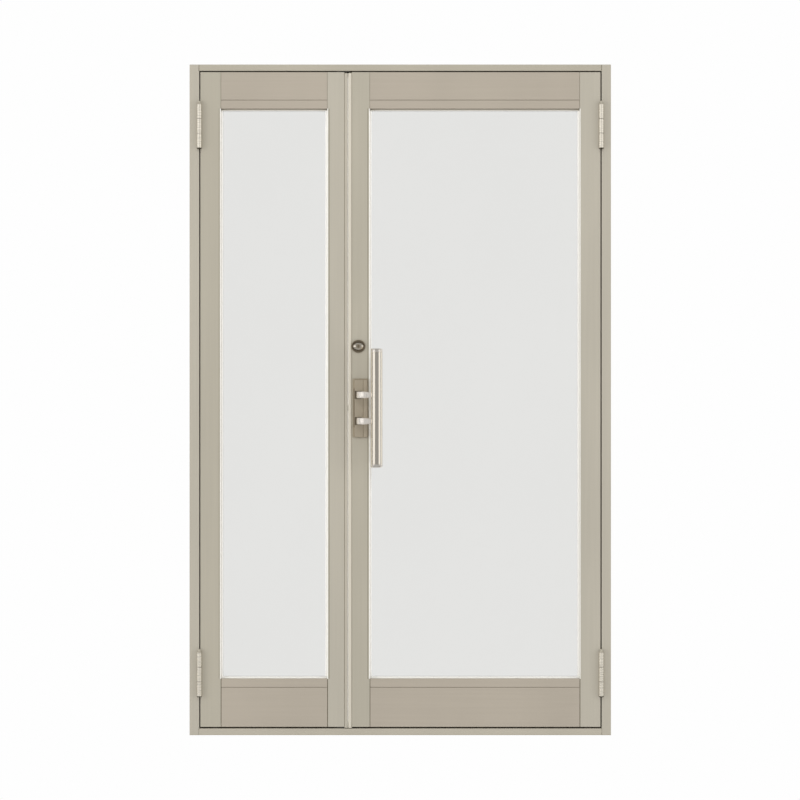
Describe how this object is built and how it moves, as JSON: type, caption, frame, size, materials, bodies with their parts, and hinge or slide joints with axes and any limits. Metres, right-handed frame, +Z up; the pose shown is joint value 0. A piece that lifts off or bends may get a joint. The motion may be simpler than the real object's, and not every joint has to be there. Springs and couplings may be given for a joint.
{
  "type": "glazed double entrance door",
  "caption": "Aluminium and glass entrance door in its frame: a wide main leaf with pull handle and lock, a narrow side leaf, outward opening on barrel hinges.",
  "frame": {"origin": "middle of the sill's underside, in width and in depth", "axes": "+Z up, +X to the right seen from outside, +Y into the building, so the outer face looks along -Y"},
  "size_m": [1.268, 0.166, 2.018],
  "materials": {
    "profile_paint": "satin champagne-beige powder coat",
    "strip_paint": "satin, a shade lighter than the profiles",
    "clear_glass": "clear",
    "pale_gasket": "matt off-white",
    "dark_gasket": "matt",
    "hinge_metal": "satin",
    "block_metal": "as extruded",
    "steel": "satin",
    "handle_metal": "satin nickel",
    "bar_metal": "polished",
    "collar_metal": "dark bronze",
    "lock_metal": "satin nickel",
    "dark_plastic": "matt",
    "pale_plastic": "matt"
  },
  "bodies": {
    "frame": {"left_jamb": "profile_paint", "right_jamb": "profile_paint", "head": "profile_paint", "sill": "profile_paint", "frame_corner_blocks": "block_metal", "stop_gasket": "dark_gasket", "hinge_frame_leaves": "hinge_metal", "hinge_pins": "steel", "flush_bolt_keepers": "steel"},
    "main_leaf": {"main_hinge_stile": "profile_paint", "main_meeting_stile": "profile_paint", "main_top_rail": "profile_paint", "main_bottom_rail": "profile_paint", "main_rail_joint_blocks": "block_metal", "main_glazing_beads": "profile_paint", "main_glass": "clear_glass", "main_gaskets": "pale_gasket", "main_setting_blocks": "dark_plastic", "main_stile_caps": "pale_plastic", "right_hinge_door_leaves": "hinge_metal", "main_meeting_strip": "profile_paint", "latch_case": "steel", "deadlock_case": "steel", "cylinder_collar": "collar_metal", "cylinder_body": "lock_metal", "thumbturn_rose": "lock_metal", "outer_handle_base": "handle_metal", "inner_handle_base": "handle_metal", "handle_bolts": "steel"},
    "side_leaf": {"side_hinge_stile": "profile_paint", "side_meeting_stile": "profile_paint", "side_top_rail": "profile_paint", "side_bottom_rail": "profile_paint", "side_rail_joint_blocks": "block_metal", "side_glazing_beads": "profile_paint", "side_glass": "clear_glass", "side_gaskets": "pale_gasket", "side_setting_blocks": "dark_plastic", "side_stile_caps": "pale_plastic", "left_hinge_door_leaves": "hinge_metal", "side_meeting_strip": "strip_paint", "meeting_seal": "pale_gasket", "latch_strike": "steel", "deadbolt_strike": "steel", "flush_bolt_plates": "steel"},
    "outer_handle": {"outer_handle_bar": "bar_metal", "outer_handle_yoke": "handle_metal", "outer_handle_caps": "handle_metal"},
    "inner_handle": {"inner_handle_bar": "bar_metal", "inner_handle_yoke": "handle_metal", "inner_handle_caps": "handle_metal"},
    "latch_bolt": {"latch_bolt": "steel"},
    "key_plug": {"key_plug": "lock_metal"},
    "thumbturn": {"thumbturn": "lock_metal"},
    "deadbolt": {"deadbolt": "steel"},
    "top_flush_bolt": {"top_flush_bolt": "steel"},
    "bottom_flush_bolt": {"bottom_flush_bolt": "steel"}
  },
  "joints": [
    {"name": "main_leaf_swing", "type": "hinge", "parent": "frame", "child": "main_leaf", "pos_m": [0.60425, -0.0427, 0], "axis": [0, 0, 1], "range_deg": [0, 110]},
    {"name": "side_leaf_swing", "type": "hinge", "parent": "frame", "child": "side_leaf", "pos_m": [-0.60425, -0.0427, 0], "axis": [0, 0, -1], "range_deg": [0, 110]},
    {"name": "outer_handle_pull", "type": "hinge", "parent": "main_leaf", "child": "outer_handle", "pos_m": [-0.1375, -0.0387, 0.9845], "axis": [0, 0, -1], "range_deg": [0, 7], "stiffness_Nm_per_rad": 2},
    {"name": "inner_handle_push", "type": "hinge", "parent": "main_leaf", "child": "inner_handle", "pos_m": [-0.1375, 0.0047, 0.9845], "axis": [0, 0, -1], "range_deg": [0, 7.2]},
    {"name": "latch_slide", "type": "slide", "parent": "main_leaf", "child": "latch_bolt", "axis": [1, 0, 0], "range_m": [0, 0.0125]},
    {"name": "deadbolt_slide", "type": "slide", "parent": "main_leaf", "child": "deadbolt", "axis": [-1, 0, 0], "range_m": [0, 0.018]},
    {"name": "thumbturn_turn", "type": "hinge", "parent": "main_leaf", "child": "thumbturn", "pos_m": [-0.1261, 0, 1.17], "axis": [0, -1, 0], "range_deg": [0, 91]},
    {"name": "key_plug_turn", "type": "hinge", "parent": "main_leaf", "child": "key_plug", "pos_m": [-0.1261, 0, 1.17], "axis": [0, -1, 0], "range_deg": [0, 91]},
    {"name": "top_flush_bolt_slide", "type": "slide", "parent": "side_leaf", "child": "top_flush_bolt", "axis": [0, 0, 1], "range_m": [0, 0.015]},
    {"name": "bottom_flush_bolt_slide", "type": "slide", "parent": "side_leaf", "child": "bottom_flush_bolt", "axis": [0, 0, -1], "range_m": [0, 0.015]}
  ],
  "couplings": [
    {"joint": "inner_handle_push", "follows": "outer_handle_pull", "ratio": 1},
    {"joint": "latch_slide", "follows": "outer_handle_pull", "m_per_rad": 0.098221},
    {"joint": "thumbturn_turn", "follows": "deadbolt_slide", "rad_per_m": 87.266},
    {"joint": "key_plug_turn", "follows": "deadbolt_slide", "rad_per_m": 87.266}
  ]
}
